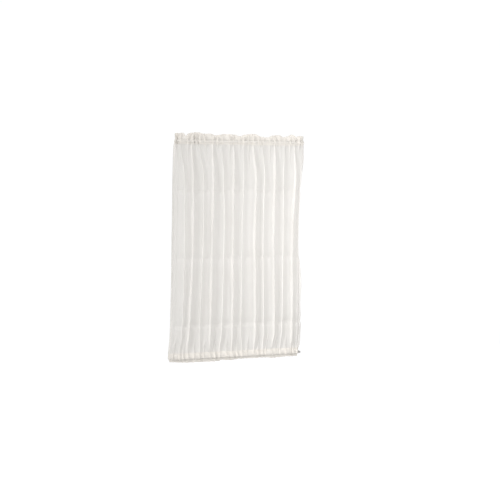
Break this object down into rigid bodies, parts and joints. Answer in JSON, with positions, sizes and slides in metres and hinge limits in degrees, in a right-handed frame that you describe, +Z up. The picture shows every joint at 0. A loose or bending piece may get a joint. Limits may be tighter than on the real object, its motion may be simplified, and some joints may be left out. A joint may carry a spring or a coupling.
{
  "type": "french door curtain on sash rods",
  "caption": "Sheer french door curtain shirred on slim sash rods at top and bottom, with a ruffled heading, soft uneven folds and a narrow lower ruffle.",
  "frame": {"origin": "on the face of the door, midway between the ends of the top rod, at the height of that rod's axis", "axes": "+Z up, +Y into the door, +X along the rods to the right as seen by a viewer in the room at -Y"},
  "size_m": [0.6315, 0.0425, 1.0257],
  "materials": {
    "sheer_cloth": "sheer ivory plain weave, matt",
    "rod_metal": "satin grey metal"
  },
  "bodies": {
    "root": {"curtain_panel": "sheer_cloth", "top_rod": "rod_metal", "bottom_rod": "rod_metal"}
  },
  "joints": []
}
